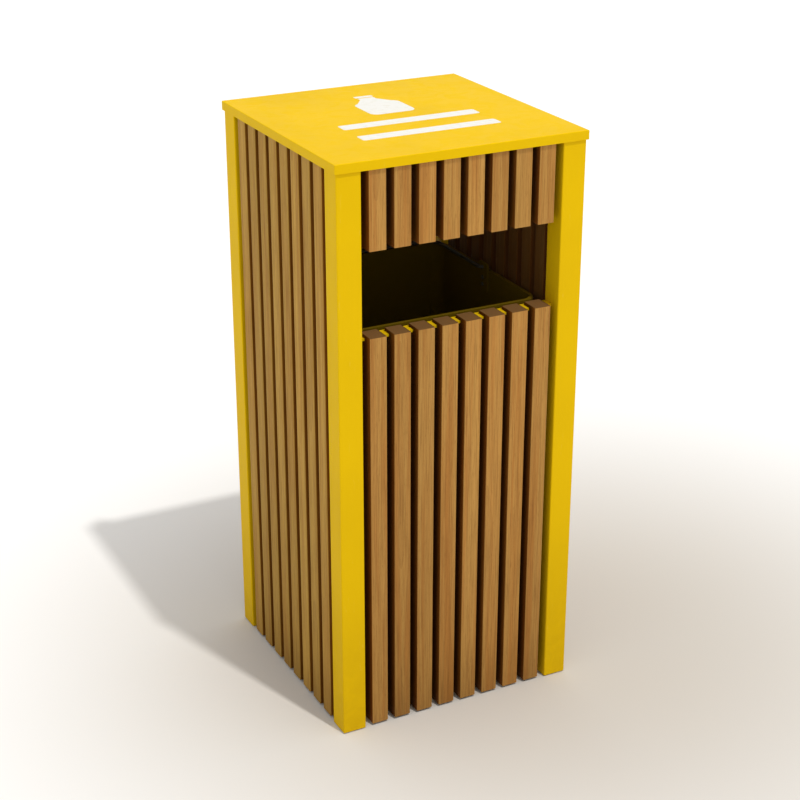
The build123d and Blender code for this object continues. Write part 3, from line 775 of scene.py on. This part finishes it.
@dataclass
class LidTray:
    """The lid, its sign, the keeper beneath it and its hinges.

    The leaf's gaps are from the lid's underside and top; the keeper's are from its flange's rear edge.
    """

    leaf_bead: float = 0.0012
    leaf_gaps: Span = (0.0015, 0.0035)
    keeper_bead: float = 0.0014
    keeper_gaps: Span = (0.013, 0.002)

    def build(self) -> None:
        """Dresses the lid and hinges, and welds the moving leaves to the folded edge."""
        dress(["lid", "lid_keeper", "hinge_left_fixed_leaf", "hinge_right_fixed_leaf",
               "hinge_left_moving_leaf", "hinge_right_moving_leaf"], steel_coat)
        dress(["lid_sign"], film)
        dress(["hinge_pins", "hinge_bolts"], stainless)
        bead_piece("lid_welds", self.leaf_beads() + self.keeper_beads(), "lid", steel_coat)

    def leaf_beads(self) -> list[Bead]:
        """Returns an upright bead down each end of each moving leaf, against the lid's folded edge."""
        beads = []
        lid_low, lid_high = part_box("lid")
        start, end = lid_low.z + self.leaf_gaps[0], lid_high.z - self.leaf_gaps[1]
        for side in ("left", "right"):
            low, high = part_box(f"hinge_{side}_moving_leaf")
            for x, away in ((low.x, -1.0), (high.x, 1.0)):
                beads.append(Bead((x, lid_high.y, start), (x, lid_high.y, end), (away, 0.0, 0.0),
                                  (0.0, 1.0, 0.0), radius=self.leaf_bead))
        return beads

    def keeper_beads(self) -> list[Bead]:
        """Returns a bead along each side of the keeper's flange, under the lid."""
        low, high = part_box("lid_keeper")
        start, end = high.y - self.keeper_gaps[0], high.y - self.keeper_gaps[1]
        return [Bead((x, start, high.z), (x, end, high.z), (away, 0.0, 0.0), (0.0, 0.0, -1.0),
                     radius=self.keeper_bead)
                for x, away in ((low.x, -1.0), (high.x, 1.0))]


@dataclass
class LidLock:
    """The lock between the two middle upper slats."""

    def build(self) -> None:
        """Gives the lock its plated metal and its screw the steel of the other fixings."""
        dress(["lock_barrel", "lock_nut", "lock_spindle", "lock_cam"], plated)
        dress(["lock_cam_screw"], stainless)


@dataclass
class LiftOutLiner:
    """The sheet liner with its ears, rivets and bail."""

    def build(self) -> None:
        """Coats the liner in a yellow darkened to painted shade, and gives its fixings and bail their metal;
        the rivets are darkened as painted shade.
        """
        dress(["liner", "liner_ears"], liner_coat)
        dress(["ear_rivets"], shade_dark_rivets)
        dress(["liner_bail"], wire)


# ----------------------------------------------------------------------------- studio
@dataclass
class Studio:
    """Pale floor, soft light and the camera."""

    floor_half: float = 120.0
    floor_cells: int = 24
    sky: Colour = (1.0, 0.995, 0.985, 1.0)
    sky_strength: float = 0.75
    horizon_strength: float = 1.10
    haze_top: float = 0.18
    sun_strength: float = 1.45
    sun_angle: float = 0.035
    sun_colour: Point = (1.0, 0.985, 0.955)
    sun_from: Point = (0.142, -0.473, 0.954)
    camera_at: Point = (-1.22595, -2.38963, 1.6326)
    camera_to: Point = (0.0, 0.0, 0.470)
    lens: float = 79.0
    sensor_width: float = 36.0
    clip_end: float = 500.0

    def floor(self) -> None:
        """Lays the floor: a flat square grid of points at height nought."""
        side = np.linspace(-self.floor_half, self.floor_half, self.floor_cells + 1)
        x, y = np.meshgrid(side, side, indexing="ij")
        points = np.stack([x, y, np.zeros_like(x)], -1).reshape(-1, 3)
        cells, row = np.arange(self.floor_cells), self.floor_cells + 1
        i, j = np.meshgrid(cells, cells, indexing="ij")
        here = (i * row + j).reshape(-1)
        faces = np.stack([here, here + row, here + row + 1, here + 1], -1)
        mesh = bpy.data.meshes.new("floor")
        mesh.from_pydata(points.tolist(), [], faces.tolist())
        mesh.materials.append(floor_paint.build())
        floor = bpy.data.objects.new("floor", mesh)
        bpy.context.scene.collection.objects.link(floor)

    def light(self) -> None:
        """Hangs a pale sky, brighter at the horizon where the floor meets it, and one soft high light."""
        scene = bpy.context.scene
        scene.world = bpy.data.worlds.new("studio sky")
        scene.world.use_nodes = True
        sky = scene.world.node_tree.nodes["Background"]
        sky.inputs["Color"].default_value = self.sky
        graph = Graph(scene.world.node_tree)
        height = graph.split(graph.node("ShaderNodeTexCoord").outputs["Generated"])[2]
        haze = {"Value": height, "From Max": self.haze_top, "To Min": self.horizon_strength,
                "To Max": self.sky_strength}
        strength = graph.node("ShaderNodeMapRange", haze, interpolation_type="SMOOTHSTEP").outputs[0]
        graph.feed(sky.inputs["Strength"], strength)
        sun = bpy.data.lights.new("high light", "SUN")
        sun.energy = self.sun_strength
        sun.angle = self.sun_angle
        sun.color = self.sun_colour
        lamp = bpy.data.objects.new("high light", sun)
        lamp.rotation_euler = Vector(self.sun_from).to_track_quat("Z", "Y").to_euler()
        scene.collection.objects.link(lamp)

    def camera(self) -> None:
        """Sets up the camera."""
        data = bpy.data.cameras.new("camera")
        data.lens = self.lens
        data.sensor_width = self.sensor_width
        data.clip_end = self.clip_end
        camera = bpy.data.objects.new("camera", data)
        camera.location = self.camera_at
        look = Vector(self.camera_to) - Vector(self.camera_at)
        camera.rotation_euler = look.to_track_quat("-Z", "Y").to_euler()
        bpy.context.scene.collection.objects.link(camera)
        bpy.context.scene.camera = camera

    def build(self) -> None:
        """Sets up the floor, the light and the camera, and shows colours as they are."""
        self.camera()
        self.floor()
        self.light()
        bpy.context.scene.view_settings.view_transform = "Standard"
        bpy.context.scene.view_settings.look = "None"


def main() -> None:
    """Builds every sub-assembly's looks in order."""
    logging.basicConfig(level=logging.INFO, format="%(name)s: %(message)s")
    for part in (Studio(), SteelFrame(), SlatWalls(), LidTray(), LidLock(), LiftOutLiner()):
        part.build()
        log.info("%s done", type(part).__name__)


if __name__ == "__main__":
    main()
